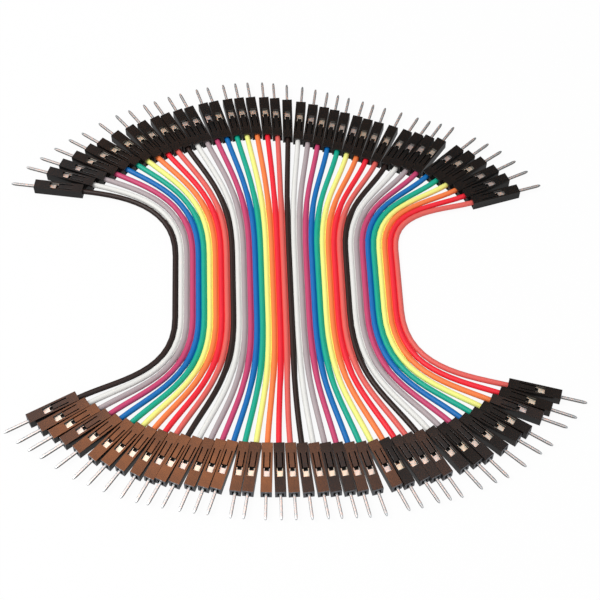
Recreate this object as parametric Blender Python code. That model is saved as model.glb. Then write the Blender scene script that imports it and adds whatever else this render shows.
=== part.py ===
"""Forty bonded jumper leads with a one-pin plug on both ends of each lead.

The ribbon lies flat along Y, and both ends are split and fanned out into a row of plugs. Metres, +Z up,
with the origin under the middle of the outline, on the surface that the leads lie on.
"""

import math

import bmesh
import bpy
from mathutils import Matrix, Vector
from mathutils.geometry import interpolate_bezier

# Leads and ribbon
LEADS = 40
COLOUR_GROUP = 10
WIRE_DIAMETER = 0.00134
BOND_GAP = 0.00005
BONDED_LENGTH = 0.018
MIDDLE_LEAD_LENGTH = 0.0889
ROW_OFFSET = 0.0005

# Lie of the two rows: the way each plug points, in degrees to the left of straight out, from lead 1 to 40
FAR_HEADINGS = (80, 70, 66, 61, 56, 53, 45, 38, 35, 30,
                29, 25, 23, 17, 16, 11, 9, 7, 3, 2,
                -1, -6, -9, -11, -12, -13, -17, -18, -20, -26,
                -32, -34, -35, -37, -49, -52, -56, -62, -67, -75)
NEAR_HEADINGS = (63, 59, 57, 55, 50, 43, 40, 36, 31, 28,
                 28, 26, 22, 20, 19, 11, 10, 3, 0, -2,
                 -5, -8, -9, -11, -12, -15, -23, -24, -28, -28,
                 -28, -35, -38, -39, -46, -53, -55, -65, -67, -73)
FAR_PLUG_GAP = 0.00006
NEAR_PLUG_GAP = 0.00005
# How far each plug sits behind or ahead of its left neighbour, at even places along the row
FAR_SLIDES = (-0.0021, -0.0015, -0.0006, -0.0003, -0.0002, -0.0007,
              -0.0005, -0.0003, 0.0007, 0.0010, 0.0010)
NEAR_SLIDES = (-0.0013, -0.0011, -0.0006, -0.0007, -0.0002, 0.0003,
               0.0006, 0.0007, 0.0008, 0.0010, 0.0014)

# Bends of the free wires, as shares of the straight distance from the ribbon to the plug
RIBBON_HANDLE = 0.5
PLUG_HANDLE = 0.33
BEND_PIECES = 5
# How many plugs on each side of a wire's own plug it turns with
TURN_REACH = 2

# Housing
HOUSING_SIDE = 0.00254
HOUSING_LENGTH = 0.0124
FRONT_WALL = 0.0012
WINDOW_FROM_FRONT = 0.00505
WINDOW_LENGTH = 0.0023
WINDOW_WIDTH = 0.0016
TONGUE_WIDTH = 0.0011
TONGUE_ROOT = 0.0025

# Contact
PIN_SIDE = 0.00064
PIN_LENGTH = 0.0061
TIP_LENGTH = 0.001
TIP_SIDE = 0.0003
SHEET = 0.0001
FIT = 0.00004
CHANNEL_CLEARANCE = 0.00005
PIN_HOLE_CLEARANCE = 0.0001
WIRE_DEPTH = 0.0044
SLEEVE_START = 0.0022
SLEEVE_END = 0.0047
CORE_CRIMP_RADIUS = 0.0005
CORE_CRIMP_LENGTH = 0.0016
SHOULDER = 0.0002

SIDES = 8
SMOOTH_ANGLE = math.radians(50)

COLOURS = {
    "black": (0.022, 0.019, 0.019),
    "white": (0.86, 0.85, 0.83),
    "grey": (0.46, 0.43, 0.44),
    "purple": (0.58, 0.065, 0.19),
    "blue": (0.008, 0.16, 0.52),
    "green": (0.012, 0.42, 0.28),
    "yellow": (0.95, 0.88, 0.16),
    "orange": (0.93, 0.24, 0.075),
    "red": (0.86, 0.02, 0.055),
    "brown": (0.72, 0.13, 0.10),
}

bore_radius = (WIRE_DIAMETER / 2 + FIT) / math.cos(math.pi / SIDES)
sleeve_radius = bore_radius + SHEET
channel_side = 2 * (sleeve_radius * math.cos(math.pi / SIDES) + CHANNEL_CLEARANCE)
wall = (HOUSING_SIDE - channel_side) / 2
window_front = HOUSING_LENGTH - WINDOW_FROM_FRONT + WINDOW_LENGTH / 2
window_rear = window_front - WINDOW_LENGTH
pin_end = HOUSING_LENGTH + PIN_LENGTH


def clear_scene():
    for thing in list(bpy.data.objects):
        bpy.data.objects.remove(thing, do_unlink=True)


def principled(name, colour, roughness, metallic=0.0):
    material = bpy.data.materials.new(name)
    material.use_nodes = True
    shader = material.node_tree.nodes["Principled BSDF"]
    shader.inputs["Base Color"].default_value = (*colour, 1.0)
    shader.inputs["Roughness"].default_value = roughness
    shader.inputs["Metallic"].default_value = metallic
    material.diffuse_color = (*colour, 1.0)
    return material


def finished_mesh(shape, name, materials):
    """Turns a closed bmesh into a mesh with outward faces and smooth round sides."""
    bmesh.ops.recalc_face_normals(shape, faces=shape.faces)
    mesh = bpy.data.meshes.new(name)
    shape.to_mesh(mesh)
    shape.free()
    for material in materials:
        mesh.materials.append(material)
    mesh.shade_smooth()
    mesh.set_sharp_from_angle(angle=SMOOTH_ANGLE)
    return mesh


def placed(name, data, matrix):
    thing = bpy.data.objects.new(name, data)
    thing.matrix_world = matrix
    bpy.context.scene.collection.objects.link(thing)
    return thing


def corner_angles():
    """Eight even places round a circle, from +X, turned so that flats and not corners face sideways."""
    return [math.tau * (corner + 0.5) / SIDES for corner in range(SIDES)]


def round_ring(shape, radius, along):
    """Eight corners on a circle round the Y axis, from +X towards +Z."""
    return [shape.verts.new((radius * math.cos(a), along, radius * math.sin(a))) for a in corner_angles()]


def square_loop(shape, side, along):
    """The four corners of a square round the Y axis, from +X +Z towards -X +Z."""
    places = ((1, 1), (-1, 1), (-1, -1), (1, -1))
    return [shape.verts.new((x * side / 2, along, z * side / 2)) for x, z in places]


def skin(shape, rings, material=0):
    """Joins each ring of corners to the next one with four-sided faces."""
    for near, far in zip(rings, rings[1:]):
        for corner, start in enumerate(near):
            following = (corner + 1) % len(near)
            face = shape.faces.new((start, near[following], far[following], far[corner]))
            face.material_index = material


def square_to_round(shape, square, circle, material=0):
    """Fills a flat face between a square loop and the eight-sided ring inside it."""
    for corner, start in enumerate(square):
        first = 2 * corner
        following = square[(corner + 1) % 4]
        wedge = shape.faces.new((start, circle[first], circle[first + 1]))
        flank = shape.faces.new((start, circle[first + 1], circle[(first + 2) % SIDES], following))
        wedge.material_index = material
        flank.material_index = material


def latch_outline():
    """The window and the two slots that free the latch tongue, seen from above as one outline."""
    outer = WINDOW_WIDTH / 2
    inner = TONGUE_WIDTH / 2
    right = [(outer, window_front), (outer, TONGUE_ROOT), (inner, TONGUE_ROOT), (inner, window_rear)]
    return right + [(-x, y) for x, y in reversed(right)]


def contact_mesh(metal):
    """A crimp terminal: sleeve on the insulation, core crimp, box and square pin with a tapered tip."""
    shape = bmesh.new()
    box_side = channel_side - 2 * CHANNEL_CLEARANCE
    crimp_start = SLEEVE_END + SHOULDER
    crimp_end = crimp_start + CORE_CRIMP_LENGTH
    box_front = HOUSING_LENGTH - FRONT_WALL - CHANNEL_CLEARANCE
    barrel = [
        round_ring(shape, bore_radius, WIRE_DEPTH + FIT),
        round_ring(shape, bore_radius, SLEEVE_START),
        round_ring(shape, sleeve_radius, SLEEVE_START),
        round_ring(shape, sleeve_radius, SLEEVE_END),
        round_ring(shape, CORE_CRIMP_RADIUS, crimp_start),
        round_ring(shape, CORE_CRIMP_RADIUS, crimp_end),
    ]
    box_and_pin = [
        square_loop(shape, box_side, crimp_end + SHOULDER),
        square_loop(shape, box_side, box_front),
        square_loop(shape, PIN_SIDE, box_front),
        square_loop(shape, PIN_SIDE, pin_end - TIP_LENGTH),
        square_loop(shape, TIP_SIDE, pin_end),
    ]
    skin(shape, barrel)
    square_to_round(shape, box_and_pin[0], barrel[-1])
    skin(shape, box_and_pin)
    shape.faces.new(barrel[0])
    shape.faces.new(box_and_pin[-1])
    return finished_mesh(shape, "contact", [metal])


def cutter(name, outline, bottom, top):
    """A hidden solid raised from an outline, used to cut the housing."""
    shape = bmesh.new()
    floor = shape.faces.new([shape.verts.new((x, y, bottom)) for x, y in outline])
    raised = bmesh.ops.extrude_face_region(shape, geom=[floor])["geom"]
    corners = [part for part in raised if isinstance(part, bmesh.types.BMVert)]
    bmesh.ops.translate(shape, verts=corners, vec=(0, 0, top - bottom))
    thing = placed(name, finished_mesh(shape, name, []), Matrix.Identity(4))
    thing.hide_render = True
    thing.display_type = "WIRE"
    return thing


def rectangle(side, start, end):
    return [(-side / 2, start), (side / 2, start), (side / 2, end), (-side / 2, end)]


def housing_mesh(plastic):
    """A hollow shell with an open rear, a hole for the pin, and a latch tongue behind its window."""
    half = HOUSING_SIDE / 2
    channel_end = HOUSING_LENGTH - FRONT_WALL
    hole_side = PIN_SIDE + 2 * PIN_HOLE_CLEARANCE
    body = cutter("housing_body", rectangle(HOUSING_SIDE, 0, HOUSING_LENGTH), -half, half)
    cuts = [
        cutter("channel", rectangle(channel_side, -wall, channel_end), -channel_side / 2, channel_side / 2),
        cutter("pin_hole", rectangle(hole_side, channel_end - wall, pin_end), -hole_side / 2, hole_side / 2),
        cutter("latch", latch_outline(), channel_side / 4, HOUSING_SIDE),
    ]
    for cut in cuts:
        carve = body.modifiers.new(cut.name, "BOOLEAN")
        carve.operation = "DIFFERENCE"
        carve.object = cut
    graph = bpy.context.evaluated_depsgraph_get()
    mesh = bpy.data.meshes.new_from_object(body.evaluated_get(graph))
    mesh.name = "housing"
    mesh.materials.clear()
    mesh.materials.append(plastic)
    for helper in [body, *cuts]:
        bpy.data.objects.remove(helper, do_unlink=True)
    return mesh


def closed_plug():
    """A plug in one piece with its pin, open only where the ring of the wire joins its rear face.

    The first eight corners are that ring. Material 1 is the housing, and material 2 the metal.
    """
    shape = bmesh.new()
    wire_ring = round_ring(shape, WIRE_DIAMETER / 2, 0)
    rear = square_loop(shape, HOUSING_SIDE, 0)
    front = square_loop(shape, HOUSING_SIDE, HOUSING_LENGTH)
    square_to_round(shape, rear, wire_ring, material=1)
    for corner in (1, 2, 3):
        following = (corner + 1) % 4
        side = shape.faces.new((rear[corner], rear[following], front[following], front[corner]))
        side.material_index = 1

    pin = [square_loop(shape, PIN_SIDE, HOUSING_LENGTH), square_loop(shape, PIN_SIDE, pin_end - TIP_LENGTH)]
    pin.append(square_loop(shape, TIP_SIDE, pin_end))
    skin(shape, [front, pin[0]], material=1)
    skin(shape, pin, material=2)
    shape.faces.new(pin[-1]).material_index = 2

    top = HOUSING_SIDE / 2
    mouth = [shape.verts.new((x, y, top)) for x, y in latch_outline()]
    floor = [shape.verts.new((x, y, top - wall - CHANNEL_CLEARANCE)) for x, y in latch_outline()]
    skin(shape, [mouth, floor], material=1)
    shape.faces.new(floor).material_index = 2
    lid = [rear[0], rear[1], front[1], front[0]]
    border = []
    for loop in (lid, mouth):
        for start, end in zip(loop, loop[1:] + loop[:1]):
            border.append(shape.edges.get((start, end)) or shape.edges.new((start, end)))
    filled = bmesh.ops.triangle_fill(shape, use_beauty=True, use_dissolve=False, edges=border)
    for face in filled["geom"]:
        if isinstance(face, bmesh.types.BMFace):
            face.material_index = 1

    mesh = bpy.data.meshes.new("closed_plug")
    shape.to_mesh(mesh)
    shape.free()
    return mesh


def read_along(values, share):
    """Value at a share of the way along a row, between its neighbours in the list."""
    place = share * (len(values) - 1)
    left = min(int(place), len(values) - 2)
    return values[left] + (values[left + 1] - values[left]) * (place - left)


def row_turns(headings):
    """The way the plug of each lead points, in radians."""
    return [math.radians(read_along(headings, lead / (LEADS - 1))) for lead in range(LEADS)]


def plug_row(headings, slides, gap, outward):
    """Frames of one row of plugs: origin at the rear face, Y along the pin, Z up.

    Neighbours touch at their rear corners, but for the gap, and fan apart from there. Outward is 1 for
    the row at +Y and -1 for the row at -Y.
    """
    turns = row_turns(headings)
    places = [Vector((0, 0, 0))]
    for step in range(LEADS - 1):
        middle = (turns[step] + turns[step + 1]) / 2
        across = HOUSING_SIDE * math.cos((turns[step] - turns[step + 1]) / 2) + gap
        along = read_along(slides, step / (LEADS - 2))
        move_x = across * math.cos(middle) - along * math.sin(middle)
        move_y = across * math.sin(middle) + along * math.cos(middle)
        places.append(places[-1] + Vector((move_x, outward * move_y, 0)))
    row_middle = (places[(LEADS - 1) // 2] + places[LEADS // 2]) / 2
    shift = Vector((ROW_OFFSET, outward * MIDDLE_LEAD_LENGTH / 2, HOUSING_SIDE / 2)) - row_middle
    frames = []
    for turn, place in zip(turns, places):
        pin_way = Vector((-math.sin(turn), outward * math.cos(turn), 0))
        side_way = pin_way.cross(Vector((0, 0, 1)))
        frame = Matrix((side_way, pin_way, (0, 0, 1))).transposed().to_4x4()
        frame.translation = place + shift
        frames.append(frame)
    return frames


def wire_ways(headings, outward):
    """The way each wire runs at its plug: the mean of the ways of that plug and of its neighbours.

    A wire is soft, so it bends a little at the rear of a plug that lies askew in its row.
    """
    turns = row_turns(headings)
    ways = []
    for lead in range(LEADS):
        reach = min(TURN_REACH, lead, LEADS - 1 - lead)
        nearby = turns[lead - reach:lead + reach + 1]
        turn = sum(nearby) / len(nearby)
        ways.append(Vector((-math.sin(turn), outward * math.cos(turn), 0)))
    return ways


def outline_middle(frames, plug):
    """Middle of the plan of all the plugs, from their own corners."""
    corners = [frame @ vertex.co for frame in frames for vertex in plug.vertices]
    low = [min(corner[axis] for corner in corners) for axis in (0, 1)]
    high = [max(corner[axis] for corner in corners) for axis in (0, 1)]
    return Vector(((low[0] + high[0]) / 2, (low[1] + high[1]) / 2, 0))


def fan_curve(split, rear, way, outward):
    """Centre line from the split in the ribbon to the rear of a plug, which it meets in the given way.

    Every lead has the same number of pieces, so that neighbours bend in step and stay apart.
    """
    reach = (rear - split).length
    leave = split + Vector((0, outward * RIBBON_HANDLE * reach, 0))
    enter = rear - way * PLUG_HANDLE * reach
    return list(interpolate_bezier(split, leave, enter, rear, BEND_PIECES + 1))


def centre_line(ribbon_x, ribbon_y, far, near):
    """Centre line of a lead between its plugs, each given as the middle of its rear and the wire's way there."""
    splits = [Vector((ribbon_x, ribbon_y + side * BONDED_LENGTH / 2, WIRE_DIAMETER / 2)) for side in (1, -1)]
    return fan_curve(splits[0], *far, 1)[::-1] + fan_curve(splits[1], *near, -1)


def wire_object(name, line, far, near, material):
    """A plain round wire that ends inside the crimp sleeves of both plugs."""
    inside = [frame @ Vector((0, WIRE_DEPTH, 0)) for frame in (far, near)]
    points = [inside[0], *line, inside[1]]
    curve = bpy.data.curves.new(name, "CURVE")
    curve.dimensions = "3D"
    curve.bevel_depth = WIRE_DIAMETER / 2
    curve.bevel_resolution = 2
    curve.twist_mode = "Z_UP"
    curve.use_fill_caps = True
    spline = curve.splines.new("POLY")
    spline.points.add(len(points) - 1)
    for target, point in zip(spline.points, points):
        target.co = (*point, 1)
        target.tilt = math.pi / SIDES
    curve.materials.append(material)
    return placed(name, curve, Matrix.Identity(4))


def lead_object(name, line, far, near, plug, origin, materials):
    """A lead in one piece: the wire runs from the rear of one closed plug to the rear of the other."""
    shape = bmesh.new()
    ends = []
    for frame in (far, near):
        before = len(shape.verts)
        shape.from_mesh(plug)
        shape.verts.ensure_lookup_table()
        added = shape.verts[before:]
        bmesh.ops.transform(shape, matrix=frame, verts=added)
        ends.append(added[:SIDES])
    start = [ends[0][(SIDES // 2 - 1 - corner) % SIDES] for corner in range(SIDES)]
    rings = [start]
    for before, point, after in zip(line, line[1:], line[2:]):
        way = ((point - before).normalized() + (after - point).normalized()).normalized()
        side = way.cross(Vector((0, 0, 1))).normalized()
        up = side.cross(way)
        spokes = [side * math.cos(a) + up * math.sin(a) for a in corner_angles()]
        rings.append([shape.verts.new(point + spoke * WIRE_DIAMETER / 2) for spoke in spokes])
    rings.append(ends[1])
    skin(shape, rings)
    bmesh.ops.translate(shape, verts=shape.verts, vec=-origin)
    return placed(name, finished_mesh(shape, name, materials), Matrix.Translation(origin))


def main():
    clear_scene()
    plastic = principled("housing_black", (0.012, 0.011, 0.011), 0.32)
    metal = principled("contact_metal", (0.80, 0.72, 0.62), 0.28, metallic=1.0)
    insulation = [principled("insulation_" + name, colour, 0.42) for name, colour in COLOURS.items()]
    colour_names = list(COLOURS)

    plug = closed_plug()
    housing = housing_mesh(plastic)
    contact = contact_mesh(metal)

    far_row = plug_row(FAR_HEADINGS, FAR_SLIDES, FAR_PLUG_GAP, 1)
    near_row = plug_row(NEAR_HEADINGS, NEAR_SLIDES, NEAR_PLUG_GAP, -1)
    middle = outline_middle(far_row + near_row, plug)
    for frame in far_row + near_row:
        frame.translation = frame.translation - middle
    far_ways = wire_ways(FAR_HEADINGS, 1)
    near_ways = wire_ways(NEAR_HEADINGS, -1)

    pitch = WIRE_DIAMETER + BOND_GAP
    for lead in range(LEADS):
        far = far_row[lead]
        near = near_row[lead]
        ribbon_x = (lead - (LEADS - 1) / 2) * pitch - middle.x
        colour = lead % COLOUR_GROUP
        label = f"{lead + 1:02d}_{colour_names[colour]}"
        apart = colour == 0 or lead == LEADS - 1
        far_end = (far.translation, far_ways[lead])
        near_end = (near.translation, near_ways[lead])
        line = centre_line(ribbon_x, -middle.y, far_end, near_end)
        if not apart:
            origin = Vector((ribbon_x, -middle.y, 0))
            lead_object("lead_" + label, line, far, near, plug, origin, [insulation[colour], plastic, metal])
            continue
        wire_object("wire_" + label, line, far, near, insulation[colour])
        for row_name, frame in (("far", far), ("near", near)):
            placed(f"housing_{lead + 1:02d}_{row_name}", housing, frame)
            placed(f"contact_{lead + 1:02d}_{row_name}", contact, frame)
    bpy.data.meshes.remove(plug)


main()
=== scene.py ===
"""Forty bonded jumper leads with one-pin plugs at both ends, finished for a studio picture.

Metres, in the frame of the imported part: the ribbon runs along Y, and the plugs fan out at both ends.
"""

import math

import bmesh
import bpy
from mathutils import Matrix, Vector
from mathutils.geometry import interpolate_bezier


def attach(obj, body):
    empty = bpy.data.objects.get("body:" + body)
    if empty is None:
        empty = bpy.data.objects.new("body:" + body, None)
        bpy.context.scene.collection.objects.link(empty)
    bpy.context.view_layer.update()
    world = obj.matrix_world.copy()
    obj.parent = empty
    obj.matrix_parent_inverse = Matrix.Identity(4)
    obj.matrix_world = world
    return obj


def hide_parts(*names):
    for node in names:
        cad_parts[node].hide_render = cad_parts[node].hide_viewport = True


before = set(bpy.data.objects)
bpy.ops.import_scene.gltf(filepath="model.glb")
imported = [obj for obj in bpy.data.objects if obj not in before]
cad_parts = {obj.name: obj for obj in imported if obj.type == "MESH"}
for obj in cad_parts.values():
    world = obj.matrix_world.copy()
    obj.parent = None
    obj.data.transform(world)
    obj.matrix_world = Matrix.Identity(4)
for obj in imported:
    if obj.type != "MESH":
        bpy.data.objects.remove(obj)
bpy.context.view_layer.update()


# Camera
# The ribbon is seen from its near end, from about a third of a metre, looking down at 57 degrees. The camera
# stands a little to the left, so that the ribbon leans to the left towards its far end.
VIEW_ELEVATION = math.radians(57)
VIEW_TURN = math.radians(2.3)
VIEW_DISTANCE = 0.362
VIEW_CENTRE = Vector((0.00334, -0.00499, 0))
FOCAL_LENGTH = 90
SENSOR_WIDTH = 36

backwards = Vector((
    -math.sin(VIEW_TURN) * math.cos(VIEW_ELEVATION),
    -math.cos(VIEW_TURN) * math.cos(VIEW_ELEVATION),
    math.sin(VIEW_ELEVATION),
))
camera = bpy.data.objects.new("camera", bpy.data.cameras.new("camera"))
camera.data.lens = FOCAL_LENGTH
camera.data.sensor_width = SENSOR_WIDTH
camera.data.clip_start = 0.01
camera.data.clip_end = 20
camera.location = VIEW_CENTRE + backwards * VIEW_DISTANCE
camera.rotation_mode = "QUATERNION"
camera.rotation_quaternion = (-backwards).to_track_quat("-Z", "Y")
bpy.context.scene.collection.objects.link(camera)
bpy.context.scene.camera = camera


# Places of the plugs
# Each end of the ribbon is split, and its forty plugs lie side by side in a curved row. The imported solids
# give each plug's place and direction: its pin ends in a small square face that looks along the pin.
LEADS = 40
HOUSING_SIDE = 0.00254
HOUSING_LENGTH = 0.0124
PIN_LENGTH = 0.0061
PIN_END_SIDE = 0.0003
PIN_END_TOLERANCE = 0.02
LEAST_OUTWARD = 0.1
LEVEL = 0.01
ROW_OFFSET = 0.0005


def pin_solid(lead, end):
    """The solid with a plug's pin: its own contact, or the whole lead where that is one solid."""
    starts = (f"contact_{lead + 1:02d}_{end}", f"lead_{lead + 1:02d}_")
    return next(solid for name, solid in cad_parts.items() if name.startswith(starts))


def plug_place(lead, end, outward):
    """Frame of one plug, with the pin along Y and the origin in the middle of the housing's rear face."""
    half_area = PIN_END_SIDE ** 2 / 2
    halves = []
    for face in pin_solid(lead, end).data.polygons:
        level = abs(face.normal.z) < LEVEL
        small = math.isclose(face.area, half_area, rel_tol=PIN_END_TOLERANCE)
        if level and small and face.normal.y * outward > LEAST_OUTWARD:
            halves.append(face)
    if len(halves) != 2:
        raise ValueError(f"lead {lead + 1} has no clear pin end at its {end} plug")
    pin_end_middle = (halves[0].center + halves[1].center) / 2
    pin_way = (halves[0].normal + halves[1].normal) * Vector((1, 1, 0))
    pin_way.normalize()
    side_way = pin_way.cross(Vector((0, 0, 1)))
    place = Matrix((side_way, pin_way, (0, 0, 1))).transposed().to_4x4()
    place.translation = pin_end_middle - pin_way * (HOUSING_LENGTH + PIN_LENGTH)
    return place


far_row = [plug_place(lead, "far", 1) for lead in range(LEADS)]
near_row = [plug_place(lead, "near", -1) for lead in range(LEADS)]
rows = {"far": far_row, "near": near_row}


# Wires
# Forty stranded wires in soft PVC jackets, ten colours four times over. The jackets are extruded side by side
# and stick together in the middle. Both ends were pulled apart by hand and run in gentle bends to the plugs.
WIRE_DIAMETER = 0.00134
BOND_GAP = 0.00005
BONDED_LENGTH = 0.018
WIRE_DEPTH = 0.0044
RIBBON_HANDLE = 0.5
PLUG_HANDLE = 0.33
TURN_REACH = 2
BEND_POINTS = 15
ROUNDNESS = 6
CLOUD_SCALE = 260.0
GRAIN_SCALE = 2400.0
GRAIN_DEPTH = 0.00002
GRAIN_ROUGHNESS = 0.14
JACKET_ROUGHNESS = 0.36
JACKET_IOR = 1.42
JACKET_COLOURS = {
    "black": (38, 23, 19),
    "white": (237, 237, 233),
    "grey": (178, 165, 168),
    "purple": (205, 70, 115),
    "blue": (0, 112, 188),
    "green": (6, 174, 146),
    "yellow": (255, 253, 140),
    "orange": (252, 132, 70),
    "red": (246, 38, 56),
    "brown": (232, 102, 94),
}


def linear(colour):
    """A display colour, 0 to 255 in each channel, as linear light with an alpha of 1."""
    shares = [channel / 255 for channel in colour]
    return (*[s / 12.92 if s <= 0.04045 else ((s + 0.055) / 1.055) ** 2.4 for s in shares], 1.0)


class Signal:
    """One output of a node. Arithmetic on it adds Math nodes to its tree."""

    def __init__(self, tree, socket=None):
        self.tree = tree
        self.socket = socket

    def node(self, kind, settings, values, output=0):
        """Adds a node, sets its settings first and then its sockets, and gives one of its outputs."""
        made = self.tree.nodes.new(kind)
        for name, value in settings.items():
            setattr(made, name, value)
        for key, value in values.items():
            if isinstance(value, Signal):
                self.tree.links.new(value.socket, made.inputs[key])
            else:
                made.inputs[key].default_value = value
        return Signal(self.tree, made.outputs[output]) if made.outputs else None

    def maths(self, operation, first, second=0.0):
        return self.node("ShaderNodeMath", {"operation": operation}, {0: first, 1: second})

    def noise(self, place, scale, detail):
        return self.node("ShaderNodeTexNoise", {}, {"Vector": place, "Scale": scale, "Detail": detail})

    def attribute(self, name, output):
        return self.node("ShaderNodeAttribute", {"attribute_name": name}, {}, output=output)

    def axis(self, name):
        """One axis of a vector, by its capital letter."""
        return self.node("ShaderNodeSeparateXYZ", {}, {"Vector": self}, output=name)

    def soft_step(self, low, high):
        """Rises smoothly from 0 at the low value to 1 at the high one."""
        return self.node("ShaderNodeMapRange", {"interpolation_type": "SMOOTHSTEP"},
                         {"Value": self, "From Min": low, "From Max": high})

    def blend(self, factor, first, second):
        """A colour between two colours."""
        return self.node("ShaderNodeMix", {"data_type": "RGBA"}, {0: factor, 6: first, 7: second}, output=2)

    def __add__(self, other):
        return self.maths("ADD", self, other)

    def __sub__(self, other):
        return self.maths("SUBTRACT", self, other)

    def __mul__(self, other):
        return self.maths("MULTIPLY", self, other)

    __radd__ = __add__


def new_finish(name, display_colour):
    """An empty material with its Principled BSDF, and a signal to build its nodes with."""
    finish = bpy.data.materials.new(name)
    finish.use_nodes = True
    finish.diffuse_color = display_colour
    shader = finish.node_tree.nodes["Principled BSDF"]
    return finish, shader, Signal(finish.node_tree)


def drive(finish, shader, signals):
    """Links each signal to the input of the shader that it is named for."""
    for name, signal in signals.items():
        finish.node_tree.links.new(signal.socket, shader.inputs[name])


def jacket_finish(name, colour):
    """Soft extruded PVC: an even colour with faint clouding, a satin skin and very fine dents."""
    base = linear(colour)
    finish, shader, nodes = new_finish(name, base)
    place = nodes.node("ShaderNodeTexCoord", {}, {}, output="Object")
    cloud = nodes.noise(place, CLOUD_SCALE, 3.0)
    grain = nodes.noise(place, GRAIN_SCALE, 2.0)
    deep = tuple(channel * 0.95 for channel in base[:3]) + (1.0,)
    pale = tuple(min(1.0, channel * 1.04 + 0.003) for channel in base[:3]) + (1.0,)
    tint = nodes.blend(cloud, deep, pale)
    bump = nodes.node("ShaderNodeBump", {}, {"Strength": 0.25, "Distance": GRAIN_DEPTH, "Height": grain})
    roughness = JACKET_ROUGHNESS + grain * GRAIN_ROUGHNESS
    drive(finish, shader, {"Base Color": tint, "Roughness": roughness, "Normal": bump})
    shader.inputs["IOR"].default_value = JACKET_IOR
    return finish


def wire_way(row, lead, outward):
    """The way a wire runs at its plug: the mean of the ways of that plug and of its neighbours."""
    reach = min(TURN_REACH, lead, LEADS - 1 - lead)
    pin_ways = [place.col[1] for place in row[lead - reach:lead + reach + 1]]
    turns = [math.atan2(-pin_way.x, outward * pin_way.y) for pin_way in pin_ways]
    turn = sum(turns) / len(turns)
    return Vector((-math.sin(turn), outward * math.cos(turn), 0))


def bend_to_plug(split, rear, way, outward):
    """Centre line from the split in the ribbon to the rear of a plug, which it meets in the given way."""
    reach = (rear - split).length
    leave = split + Vector((0, outward * RIBBON_HANDLE * reach, 0))
    enter = rear - way * PLUG_HANDLE * reach
    return list(interpolate_bezier(split, leave, enter, rear, BEND_POINTS))


pitch = WIRE_DIAMETER + BOND_GAP
jackets = {name: jacket_finish("jacket_" + name, colour) for name, colour in JACKET_COLOURS.items()}
colour_names = list(JACKET_COLOURS)

# The middle of the ribbon lies midway between the rows, and a little to the left of their middles
middle_plugs = [row[lead].translation for row in (far_row, near_row) for lead in (LEADS // 2 - 1, LEADS // 2)]
row_centre = sum(middle_plugs, Vector()) / len(middle_plugs)
ribbon_centre = Vector((row_centre.x - ROW_OFFSET, row_centre.y, WIRE_DIAMETER / 2))

routes = []
for lead in range(LEADS):
    colour = colour_names[lead % len(colour_names)]
    label = f"{lead + 1:02d}_{colour}"
    ribbon_x = ribbon_centre.x + (lead - (LEADS - 1) / 2) * pitch
    splits = [
        Vector((ribbon_x, ribbon_centre.y + way * BONDED_LENGTH / 2, ribbon_centre.z)) for way in (1, -1)
    ]
    ends = [row[lead] @ Vector((0, WIRE_DEPTH, 0)) for row in (far_row, near_row)]
    route = [ends[0]]
    route += bend_to_plug(splits[0], far_row[lead].translation, wire_way(far_row, lead, 1), 1)[::-1]
    route += bend_to_plug(splits[1], near_row[lead].translation, wire_way(near_row, lead, -1), -1)
    route.append(ends[1])
    routes.append(route)
    length = sum((after - before).length for before, after in zip(route, route[1:]))

    curve = bpy.data.curves.new("jacket_" + label, "CURVE")
    curve.dimensions = "3D"
    curve.bevel_depth = WIRE_DIAMETER / 2
    curve.bevel_resolution = ROUNDNESS
    curve.twist_mode = "Z_UP"
    curve.use_fill_caps = True
    spline = curve.splines.new("POLY")
    spline.points.add(len(route) - 1)
    for target, point in zip(spline.points, route):
        target.co = (*point, 1)
    spline.use_smooth = True
    curve.materials.append(jackets[colour])
    jacket = bpy.data.objects.new("jacket_" + label, curve)
    bpy.context.scene.collection.objects.link(jacket)
    node = ("wire_" if "wire_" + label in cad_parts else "lead_") + label
    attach(jacket, "root")
    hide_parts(node)


# Contacts
# Each plug holds a terminal stamped from thin plated sheet and rolled up: wings crimped on the jacket and on
# the bared strands, a box that catches on the housing's latch, and a square pin with a tapered tip.
PIN_SIDE = 0.00064
TIP_LENGTH = 0.001
SLEEVE_START = 0.0022
SLEEVE_END = 0.0047
FRONT_WALL = 0.0012
CHANNEL_SIDE = 0.0017048
CONTACT_SIDE = 0.0016
LATCH_FRONT = 0.00695
LATCH_DEPTH = 0.0007
BOX_NOSE_HALF = 0.00062
BOX_CORNER = 0.00016
PIN_CORNER = 0.00014
SLEEVE_WALL = 0.00014
WIRE_FIT = 0.00001
SEAT_GAP = 0.00005
CRIMP_FORM = (0.00056, 0.00046, 0.00040)
SEAM_HALF = 0.00004
CONTACT_EDGE = 0.00002
CLEAR_ABOVE = 0.002
SMOOTH_BELOW = math.radians(15)
LEADS_APART = (1, 11, 21, 31, 40)
BOX_SILVER = (0.80, 0.75, 0.73, 1)
BOX_GOLD = (0.92, 0.86, 0.68, 1)
PIN_TOP_COLOUR = (0.76, 0.79, 0.80, 1)
# Darker colour for the pin's sides: partly the duller sheared metal, partly painted shade.
PIN_SIDE_DULL_AND_SHADE = (0.38, 0.36, 0.34, 1)
# Near-black for the box's opening behind the latch and below its top: painted shade.
LATCH_PAINTED_SHADE = (0.02, 0.018, 0.016, 1)
HANDLED_GREY = (0.55, 0.54, 0.53, 1)
pin_end = HOUSING_LENGTH + PIN_LENGTH


def ring(shape, along, half_width, half_height, corner):
    """Sixteen corners round the Y axis on a rectangle whose corners are rounded."""
    made = []
    for turn_x, turn_z, start in ((1, 1, 0), (-1, 1, 90), (-1, -1, 180), (1, -1, 270)):
        for step in range(4):
            angle = math.radians(start + step * 30)
            x = turn_x * (half_width - corner) + corner * math.cos(angle)
            z = turn_z * (half_height - corner) + corner * math.sin(angle)
            made.append(shape.verts.new((x, along, z)))
    return made


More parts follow.
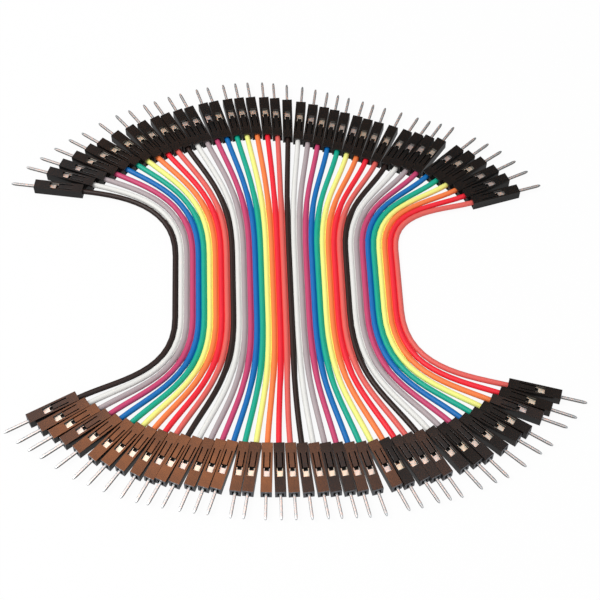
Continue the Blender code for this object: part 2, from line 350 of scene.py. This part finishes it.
def skinned(shape, rings):
    """Closes the stretch between each ring and the next one."""
    for before, after in zip(rings, rings[1:]):
        for corner in range(len(before)):
            following = (corner + 1) % len(before)
            shape.faces.new((before[corner], before[following], after[following], after[corner]))


def hidden_solid(name, shape):
    """A helper object from a closed bmesh, for cutting and instancing. It is removed after use."""
    bmesh.ops.recalc_face_normals(shape, faces=shape.faces)
    mesh = bpy.data.meshes.new(name)
    shape.to_mesh(mesh)
    shape.free()
    helper = bpy.data.objects.new(name, mesh)
    bpy.context.scene.collection.objects.link(helper)
    return helper


def block(name, low, high):
    """A plain cutting block between two corners."""
    shape = bmesh.new()
    bmesh.ops.create_cube(shape, size=1)
    for vertex in shape.verts:
        vertex.co = [l + (h - l) * (c + 0.5) for l, h, c in zip(low, high, vertex.co)]
    return hidden_solid(name, shape)


def carved(helper, cutters, edge_width, edge_steps, sharpest):
    """Cuts the helper, rounds its edges and gives the resulting mesh with its local place stored.

    The faces are cut into triangles here, so that all its copies in a row are shaded alike.
    """
    for cutter in cutters:
        cut = helper.modifiers.new(cutter.name, "BOOLEAN")
        cut.operation = "DIFFERENCE"
        cut.object = cutter
    edges = helper.modifiers.new("edges", "BEVEL")
    edges.width = edge_width
    edges.segments = edge_steps
    edges.limit_method = "ANGLE"
    edges.angle_limit = sharpest
    helper.modifiers.new("triangles", "TRIANGULATE")
    graph = bpy.context.evaluated_depsgraph_get()
    mesh = bpy.data.meshes.new_from_object(helper.evaluated_get(graph))
    mesh.shade_smooth()
    mesh.set_sharp_from_angle(angle=SMOOTH_BELOW)
    local = mesh.attributes.new("local_place", "FLOAT_VECTOR", "POINT")
    for vertex, value in zip(mesh.vertices, local.data):
        value.vector = vertex.co
    for used in (helper, *cutters):
        bpy.data.objects.remove(used, do_unlink=True)
    return mesh


def contact_mesh():
    """The terminal as a rolled form, with the open place in its box and the seams of its crimps."""
    shape = bmesh.new()
    wire = WIRE_DIAMETER / 2
    bore = wire + WIRE_FIT
    sleeve = wire + SLEEVE_WALL
    sleeve_rim = SLEEVE_END - 0.0002
    crimp_start = SLEEVE_END + 0.0003
    crimp_end = SLEEVE_END + 0.0011
    box_half = CONTACT_SIDE / 2
    box_front = HOUSING_LENGTH - FRONT_WALL - SEAT_GAP
    pin = PIN_SIDE / 2
    rings = [
        ring(shape, WIRE_DEPTH + SEAT_GAP, bore, bore, bore),
        ring(shape, SLEEVE_START, bore, bore, bore),
        ring(shape, SLEEVE_START, sleeve, sleeve, sleeve),
        ring(shape, sleeve_rim, sleeve, sleeve, sleeve),
        ring(shape, SLEEVE_END, 0.00070, 0.00066, 0.00060),
        ring(shape, crimp_start, *CRIMP_FORM),
        ring(shape, crimp_end, *CRIMP_FORM),
        ring(shape, SLEEVE_END + 0.0013, 0.00066, 0.00062, 0.00024),
        ring(shape, SLEEVE_END + 0.0016, box_half, box_half, BOX_CORNER),
        ring(shape, LATCH_FRONT, box_half, box_half, BOX_CORNER),
        ring(shape, LATCH_FRONT + 0.0018, box_half, BOX_NOSE_HALF, BOX_CORNER),
        ring(shape, box_front, box_half, BOX_NOSE_HALF, BOX_CORNER),
        ring(shape, box_front, pin, pin, PIN_CORNER),
        ring(shape, pin_end - TIP_LENGTH, pin, pin, PIN_CORNER),
        ring(shape, pin_end - TIP_LENGTH * 0.45, pin * 0.84, pin * 0.84, 0.00013),
        ring(shape, pin_end - TIP_LENGTH * 0.12, pin * 0.60, pin * 0.60, 0.00012),
        ring(shape, pin_end, pin * 0.34, pin * 0.34, 0.00009),
    ]
    skinned(shape, rings)
    shape.faces.new(rings[0])
    shape.faces.new(rings[-1])
    cutters = [
        block("latch_place", (-0.00050, 0.0060, 0.0001), (0.00050, LATCH_FRONT, CLEAR_ABOVE)),
        block("jacket_seam", (-SEAM_HALF, 0.0021, wire + 0.00003), (SEAM_HALF, sleeve_rim, CLEAR_ABOVE)),
        block("strand_seam", (-SEAM_HALF, crimp_start, 0.0003), (SEAM_HALF, crimp_end, CLEAR_ABOVE)),
    ]
    form = hidden_solid("contact_form", shape)
    return carved(form, cutters, edge_width=CONTACT_EDGE, edge_steps=1, sharpest=math.radians(50))


def row_tree():
    """Geometry Nodes that set one part on every plug place, with a chance number for each plug."""
    tree = bpy.data.node_groups.new("parts_in_a_row", "GeometryNodeTree")
    face = tree.interface
    face.new_socket("Places", in_out="INPUT", socket_type="NodeSocketGeometry")
    face.new_socket("Part", in_out="INPUT", socket_type="NodeSocketObject")
    face.new_socket("Finish", in_out="INPUT", socket_type="NodeSocketMaterial")
    face.new_socket("Seed", in_out="INPUT", socket_type="NodeSocketInt")
    face.new_socket("Parts", in_out="OUTPUT", socket_type="NodeSocketGeometry")
    start = tree.nodes.new("NodeGroupInput")
    nodes = Signal(tree)
    given = {socket.name: Signal(tree, socket) for socket in start.outputs if socket.name}
    turn = nodes.node("GeometryNodeInputNamedAttribute", {"data_type": "FLOAT"}, {"Name": "turn"})
    rotation = nodes.node("ShaderNodeCombineXYZ", {}, {"Z": turn})
    part = nodes.node("GeometryNodeObjectInfo", {}, {"Object": given["Part"]}, output="Geometry")
    placed = nodes.node("GeometryNodeInstanceOnPoints", {},
                        {"Points": given["Places"], "Instance": part, "Rotation": rotation})
    chance = nodes.node("FunctionNodeRandomValue", {"data_type": "FLOAT"}, {"Seed": given["Seed"]}, output=1)
    toned = nodes.node("GeometryNodeStoreNamedAttribute", {"data_type": "FLOAT", "domain": "INSTANCE"},
                       {"Geometry": placed, "Name": "chance", "Value": chance})
    real = nodes.node("GeometryNodeRealizeInstances", {}, {"Geometry": toned})
    painted = nodes.node("GeometryNodeSetMaterial", {}, {"Geometry": real, "Material": given["Finish"]})
    nodes.node("NodeGroupOutput", {}, {0: painted})
    return tree


def set_in_rows(part_name, part_mesh, finish, tree):
    """Makes one piece of all the parts of each row, and lets it stand for the frame's own."""
    part = bpy.data.objects.new(part_name + "_part", part_mesh)
    bpy.context.scene.collection.objects.link(part)
    sockets = {item.name: item.identifier for item in tree.interface.items_tree if item.in_out == "INPUT"}
    for seed, (row_name, row) in enumerate(rows.items()):
        places = bpy.data.meshes.new("places")
        places.from_pydata([plug_frame.translation for plug_frame in row], [], [])
        turns = places.attributes.new("turn", "FLOAT", "POINT")
        for value, plug_frame in zip(turns.data, row):
            value.value = math.atan2(-plug_frame.col[1].x, plug_frame.col[1].y)
        carrier = bpy.data.objects.new("places", places)
        bpy.context.scene.collection.objects.link(carrier)
        maker = carrier.modifiers.new("row", "NODES")
        maker.node_group = tree
        maker[sockets["Part"]] = part
        maker[sockets["Finish"]] = finish
        maker[sockets["Seed"]] = seed + 1
        graph = bpy.context.evaluated_depsgraph_get()
        mesh = bpy.data.meshes.new_from_object(carrier.evaluated_get(graph))
        bpy.data.objects.remove(carrier, do_unlink=True)
        piece = bpy.data.objects.new(f"{part_name}s_{row_name}", mesh)
        bpy.context.scene.collection.objects.link(piece)
        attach(piece, "root")
        nodes = [f"{part_name}_{lead:02d}_{row_name}" for lead in LEADS_APART]
        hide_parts(*nodes)
    bpy.data.objects.remove(part, do_unlink=True)


def contact_finish():
    """Thin plating: a box from pale gold to silver with painted shade in its opening behind the latch, and a
    tinned pin whose sides are painted darker, partly as their duller sheared metal and partly as painted
    shade.
    """
    finish, shader, nodes = new_finish("contact_plating", (0.8, 0.72, 0.62, 1))
    local = nodes.attribute("local_place", "Vector")
    chance = nodes.attribute("chance", "Fac")
    drawn = nodes.node("ShaderNodeVectorMath", {"operation": "MULTIPLY"}, {0: local, 1: (9000, 400, 9000)})
    lines = nodes.noise(drawn, 1.0, 3.0)
    clouds = nodes.noise(local, 900.0, 2.0)
    box = nodes.blend(chance, BOX_SILVER, BOX_GOLD)
    on_pin = nodes.maths("GREATER_THAN", local.axis("Y"), HOUSING_LENGTH - FRONT_WALL)
    # The pin's sides and rounded corners take the darker colour: partly duller sheared metal, partly painted
    # shade.
    dull_shaded_side = nodes.maths("ABSOLUTE", local.axis("X")).soft_step(0.00018, 0.00027)
    pin = nodes.blend(dull_shaded_side, PIN_TOP_COLOUR, PIN_SIDE_DULL_AND_SHADE)
    metal = nodes.blend(on_pin, box, pin)
    # Below the box top and behind the latch front the metal is painted near-black: painted shade in the
    # opening under the tongue.
    below_top = nodes.maths("LESS_THAN", local.axis("Z"), LATCH_DEPTH)
    behind_latch = nodes.maths("LESS_THAN", local.axis("Y"), LATCH_FRONT + CONTACT_EDGE)
    shaded = nodes.blend(below_top * behind_latch, metal, LATCH_PAINTED_SHADE)
    dulled = nodes.blend(clouds * 0.2, shaded, HANDLED_GREY)
    bump = nodes.node("ShaderNodeBump", {}, {"Strength": 0.2, "Distance": 0.00001, "Height": lines})
    drive(finish, shader, {"Base Color": dulled, "Roughness": 0.36 + lines * 0.16, "Normal": bump})
    shader.inputs["Metallic"].default_value = 1.0
    return finish


rows_of_parts = row_tree()
set_in_rows("contact", contact_mesh(), contact_finish(), rows_of_parts)


# Housings
# Black moulded nylon shells that slide over the contacts: a square channel open at the rear, a small hole for
# the pin in a recessed front, and in the top wall a window with a springy tongue that keeps the contact in.
WINDOW_FRONT = 0.0085
WINDOW_REAR = 0.0062
WINDOW_WIDTH = 0.0016
TONGUE_WIDTH = 0.0011
TONGUE_ROOT = 0.0025
TONGUE_DROP = 0.00009
NOSE_DROP = 0.00030
TONGUE_REACH = 0.0001
PIN_HOLE_CLEARANCE = 0.0001
RECESS_HALF = 0.00072
RECESS_DEPTH = 0.0003
HOUSING_EDGE = 0.00008
CLEAR_AHEAD = 0.02
ROLL_OF_PLUGS = 0.08
HOUSING_IOR = 1.58
PLAIN_BLACK = (0.003, 0.003, 0.0032, 1)
# Brown-black: partly the nylon's own tone, partly painted warm reflection.
BROWN_TONE_AND_REFLECTION = (0.011, 0.0065, 0.0045, 1)
# Pale blue-grey for the housing's front face: painted reflection, with the same roughness as the rest.
FRONT_PAINTED_SHEEN = (0.100, 0.105, 0.118, 1)
FRONT_SHEEN_DEPTH = 0.00006


def housing_mesh():
    """One shell, cut from a block, with its latch tongue bent a little into the channel."""
    half = HOUSING_SIDE / 2
    channel = CHANNEL_SIDE / 2
    channel_end = HOUSING_LENGTH - FRONT_WALL
    pin_hole = PIN_SIDE / 2 + PIN_HOLE_CLEARANCE
    recess = RECESS_HALF
    recess_floor = HOUSING_LENGTH - RECESS_DEPTH
    window = WINDOW_WIDTH / 2
    tongue = TONGUE_WIDTH / 2
    slot_end = WINDOW_REAR + TONGUE_REACH
    body = block("housing_form", (-half, 0, -half), (half, HOUSING_LENGTH, half))
    cutters = [
        block("channel", (-channel, -0.001, -channel), (channel, channel_end, channel)),
        block("pin_hole", (-pin_hole, channel_end - 0.0005, -pin_hole), (pin_hole, CLEAR_AHEAD, pin_hole)),
        block("front_recess", (-recess, recess_floor, -recess), (recess, CLEAR_AHEAD, recess)),
        block("window", (-window, WINDOW_REAR, channel / 2), (window, WINDOW_FRONT, CLEAR_ABOVE)),
        block("slot_left", (-window, TONGUE_ROOT, channel / 2), (-tongue, slot_end, CLEAR_ABOVE)),
        block("slot_right", (tongue, TONGUE_ROOT, channel / 2), (window, slot_end, CLEAR_ABOVE)),
    ]
    mesh = carved(body, cutters, edge_width=HOUSING_EDGE, edge_steps=2, sharpest=math.radians(40))
    for vertex in mesh.vertices:
        x, y, z = vertex.co
        free = (y - TONGUE_ROOT) / (WINDOW_REAR - TONGUE_ROOT)
        if abs(x) < tongue + 0.00001 and 0 < free < 1.01 and z > channel / 2:
            low_share = (half - z) / (half - channel)
            vertex.co.z -= free ** 2 * (TONGUE_DROP + (NOSE_DROP - TONGUE_DROP) * low_share)
    return mesh


def housing_finish():
    """Black nylon with a moulded grain and a front face painted pale blue-grey as painted reflection. A brown
    cast, partly the nylon's tone and partly painted warm reflection, and the roll differ from plug to plug.
    """
    finish, shader, nodes = new_finish("housing_nylon", (0.02, 0.018, 0.018, 1))
    local = nodes.attribute("local_place", "Vector")
    chance = nodes.attribute("chance", "Fac")
    grain = nodes.noise(local, 5200.0, 3.0)
    flow = nodes.noise(local, 420.0, 3.0)
    # A brown cast by chance for each plug and by flow: partly tone, partly painted warm reflection.
    tone_and_warm_reflection = nodes.blend(chance * 0.8 + flow * 0.2, PLAIN_BLACK, BROWN_TONE_AND_REFLECTION)
    # The front face is painted a pale blue-grey: painted reflection.
    front = nodes.maths("GREATER_THAN", local.axis("Y"), HOUSING_LENGTH - FRONT_SHEEN_DEPTH)
    with_front_sheen = nodes.blend(front, tone_and_warm_reflection, FRONT_PAINTED_SHEEN)
    lean = nodes.node("ShaderNodeCombineXYZ", {}, {"X": (chance - 0.5) * ROLL_OF_PLUGS})
    straight = nodes.node("ShaderNodeNewGeometry", {}, {}, output="Normal")
    leaning = nodes.node("ShaderNodeVectorMath", {"operation": "ADD"}, {0: straight, 1: lean})
    rolled = nodes.node("ShaderNodeVectorMath", {"operation": "NORMALIZE"}, {0: leaning})
    bump = nodes.node("ShaderNodeBump", {},
                      {"Strength": 0.3, "Distance": GRAIN_DEPTH, "Height": grain, "Normal": rolled})
    drive(finish, shader, {"Base Color": with_front_sheen, "Roughness": 0.13 + flow * 0.10, "Normal": bump})
    shader.inputs["IOR"].default_value = HOUSING_IOR
    return finish


set_in_rows("housing", housing_mesh(), housing_finish(), rows_of_parts)


# Bonding film
# Where the leads haven't been pulled apart, a thin web of the same PVC still joins each jacket to the next.
# Where the jackets part, each web is torn off the right one and runs out along the left one.
FILM_THICKNESS = 0.00030
FILM_EDGE = 0.00060
FILM_BITE = 0.00008
TEAR_START = 0.00009
TEAR_END = 0.00042
LEAST_FILLED = 0.02
FILM_ROUGHNESS = 0.40


def web_pairs(left, right):
    """The pairs of points that a web joins, each with the share of the gap that it still fills."""
    pairs = []
    for before, after in zip(left, right):
        gap = (after - before).length - WIRE_DIAMETER
        filled = (TEAR_END - gap) / (TEAR_END - TEAR_START)
        pairs.append((before, after, min(1.0, max(0.0, filled))))
    middle = len(pairs) // 2
    first = middle
    while first > 0 and pairs[first][2] > 0:
        first -= 1
    last = middle
    while last < len(pairs) - 1 and pairs[last][2] > 0:
        last += 1
    return pairs[first:last + 1]


def add_web(shape, pairs, tint, colour):
    """One web between two jackets, thinnest in its middle, that carries their colour."""
    loops = []
    for left, right, filled in pairs:
        side_way = (right - left).normalized()
        half_gap = (right - left).length / 2 - WIRE_DIAMETER / 2
        from_left = -half_gap - FILM_BITE
        to_right = from_left + 2 * (half_gap + FILM_BITE) * max(filled, LEAST_FILLED)
        outline = ((from_left, FILM_EDGE), ((from_left + to_right) / 2, FILM_THICKNESS),
                   (to_right, FILM_THICKNESS + (FILM_EDGE - FILM_THICKNESS) * filled))
        centre = (left + right) / 2
        top = [centre + side_way * across + Vector((0, 0, height / 2)) for across, height in outline]
        bottom = [centre + side_way * across - Vector((0, 0, height / 2)) for across, height in outline[::-1]]
        loops.append([shape.verts.new(corner) for corner in top + bottom])
    faces = [shape.faces.new(loops[0]), shape.faces.new(loops[-1])]
    for before, after in zip(loops, loops[1:]):
        for corner in range(len(before)):
            following = (corner + 1) % len(before)
            corners = (before[corner], before[following], after[following], after[corner])
            faces.append(shape.faces.new(corners))
    for face in faces:
        for loop in face.loops:
            loop[tint] = colour


def film_finish():
    """PVC in the colour that each web carries."""
    finish, shader, nodes = new_finish("bonding_film", (0.5, 0.5, 0.5, 1))
    tint = nodes.attribute("film_colour", "Color")
    place = nodes.node("ShaderNodeTexCoord", {}, {}, output="Object")
    grain = nodes.noise(place, GRAIN_SCALE, 2.0)
    drive(finish, shader, {"Base Color": tint, "Roughness": FILM_ROUGHNESS + grain * GRAIN_ROUGHNESS})
    return finish


webs = bmesh.new()
web_tint = webs.loops.layers.float_color.new("film_colour")
for valley in range(LEADS - 1):
    bonded = web_pairs(routes[valley], routes[valley + 1])
    add_web(webs, bonded, web_tint, linear(JACKET_COLOURS[colour_names[valley % len(colour_names)]]))
bmesh.ops.recalc_face_normals(webs, faces=webs.faces)
film_mesh = bpy.data.meshes.new("bonding_film")
webs.to_mesh(film_mesh)
webs.free()
film_mesh.materials.append(film_finish())
film = bpy.data.objects.new("bonding_film", film_mesh)
bpy.context.scene.collection.objects.link(film)
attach(film, "root")


# Table and light
# A plain white table under soft studio light: one large lamp from the upper left and a pale room all round.
# The camera sees the table as white, with the faint shadows and reflections of the leads left in.
TABLE_SIZE = 4.0
TABLE_WHITE = (0.92, 0.92, 0.92, 1)
SEEN_GLOW = (1, 1, 1, 1)
MIRRORED_GLOW = (0.3, 0.3, 0.3, 1)
SEEN_SHARE = 0.94
MIRRORED_SHARE = 0.9
KEY_WAY = (-0.7, -0.1, 1.0)
KEY_DISTANCE = 0.7
KEY_SIZE = 0.4
KEY_POWER = 2.7
KEY_COLOUR = (1.0, 0.985, 0.96)
WARM_WAY = (-0.082, 0.430, 0.899)
WARM_GLOW = (8.5, 3.1, 1.3, 1)
DARK_WAY = (0.5, 0.9, 0)
LIGHT_OVERHEAD = (0.90, 0.90, 0.93, 1)
DARK_OVERHEAD = (0.13, 0.13, 0.125, 1)
LOW_WALLS = (0.12, 0.12, 0.13, 1)
ROOM_LIGHT = (0.62, 0.62, 0.63, 1)


def table_finish():
    """White that catches the leads' faint shadows, and looks darker where the plugs mirror it."""
    finish = bpy.data.materials.new("white_table")
    finish.use_nodes = True
    tree = finish.node_tree
    tree.nodes.clear()
    nodes = Signal(tree)
    paths = tree.nodes.new("ShaderNodeLightPath")
    by_camera = Signal(tree, paths.outputs["Is Camera Ray"])
    in_gloss = Signal(tree, paths.outputs["Is Glossy Ray"])
    lit = nodes.node("ShaderNodeBsdfDiffuse", {}, {"Color": TABLE_WHITE})
    glow = nodes.blend(by_camera, MIRRORED_GLOW, SEEN_GLOW)
    white = nodes.node("ShaderNodeEmission", {}, {"Color": glow, "Strength": 1.0})
    share = by_camera * SEEN_SHARE + in_gloss * MIRRORED_SHARE
    plain = nodes.node("ShaderNodeMixShader", {}, {0: share, 1: lit, 2: white})
    nodes.node("ShaderNodeOutputMaterial", {}, {"Surface": plain})
    return finish


table_shape = bmesh.new()
bmesh.ops.create_grid(table_shape, x_segments=1, y_segments=1, size=TABLE_SIZE / 2)
table_mesh = bpy.data.meshes.new("table")
table_shape.to_mesh(table_mesh)
table_shape.free()
table_mesh.materials.append(table_finish())
table = bpy.data.objects.new("table", table_mesh)
bpy.context.scene.collection.objects.link(table)


def soft_lamp(name, way, distance, size, power, colour):
    """A square lamp in a direction from the ribbon, turned to face it."""
    lamp = bpy.data.lights.new(name, "AREA")
    lamp.shape = "SQUARE"
    lamp.size = size
    lamp.energy = power
    lamp.color = colour
    holder = bpy.data.objects.new(name, lamp)
    holder.location = Vector(way).normalized() * distance
    holder.rotation_mode = "QUATERNION"
    holder.rotation_quaternion = (-holder.location).to_track_quat("-Z", "Y")
    bpy.context.scene.collection.objects.link(holder)


soft_lamp("key_lamp", KEY_WAY, KEY_DISTANCE, KEY_SIZE, KEY_POWER, KEY_COLOUR)

room = bpy.data.worlds.new("room")
room.use_nodes = True
bpy.context.scene.world = room
room_tree = room.node_tree
room_tree.nodes.clear()
room_nodes = Signal(room_tree)
room_paths = room_tree.nodes.new("ShaderNodeLightPath")
seen_directly = Signal(room_tree, room_paths.outputs["Is Camera Ray"])
seen_in_gloss = Signal(room_tree, room_paths.outputs["Is Glossy Ray"])
direction = room_nodes.node("ShaderNodeTexCoord", {}, {}, output="Generated")
to_warm_side = room_nodes.node("ShaderNodeVectorMath", {"operation": "DOT_PRODUCT"},
                               {0: direction, 1: WARM_WAY}, output="Value")
to_dark_side = room_nodes.node("ShaderNodeVectorMath", {"operation": "DOT_PRODUCT"},
                               {0: direction, 1: DARK_WAY}, output="Value")
overhead = room_nodes.blend(to_dark_side.soft_step(0.37, 0.52), LIGHT_OVERHEAD, DARK_OVERHEAD)
ambient = room_nodes.blend(direction.axis("Z").soft_step(0.1, 0.6), LOW_WALLS, overhead)
glossy_room = room_nodes.blend(to_warm_side.soft_step(0.9935, 0.9985), ambient, WARM_GLOW)
lit_room = room_nodes.blend(seen_in_gloss, ROOM_LIGHT, glossy_room)
shown_room = room_nodes.blend(seen_directly, lit_room, SEEN_GLOW)
glow = room_nodes.node("ShaderNodeBackground", {}, {"Color": shown_room, "Strength": 1.0})
room_nodes.node("ShaderNodeOutputWorld", {}, {"Surface": glow})

bpy.context.scene.view_settings.view_transform = "Standard"
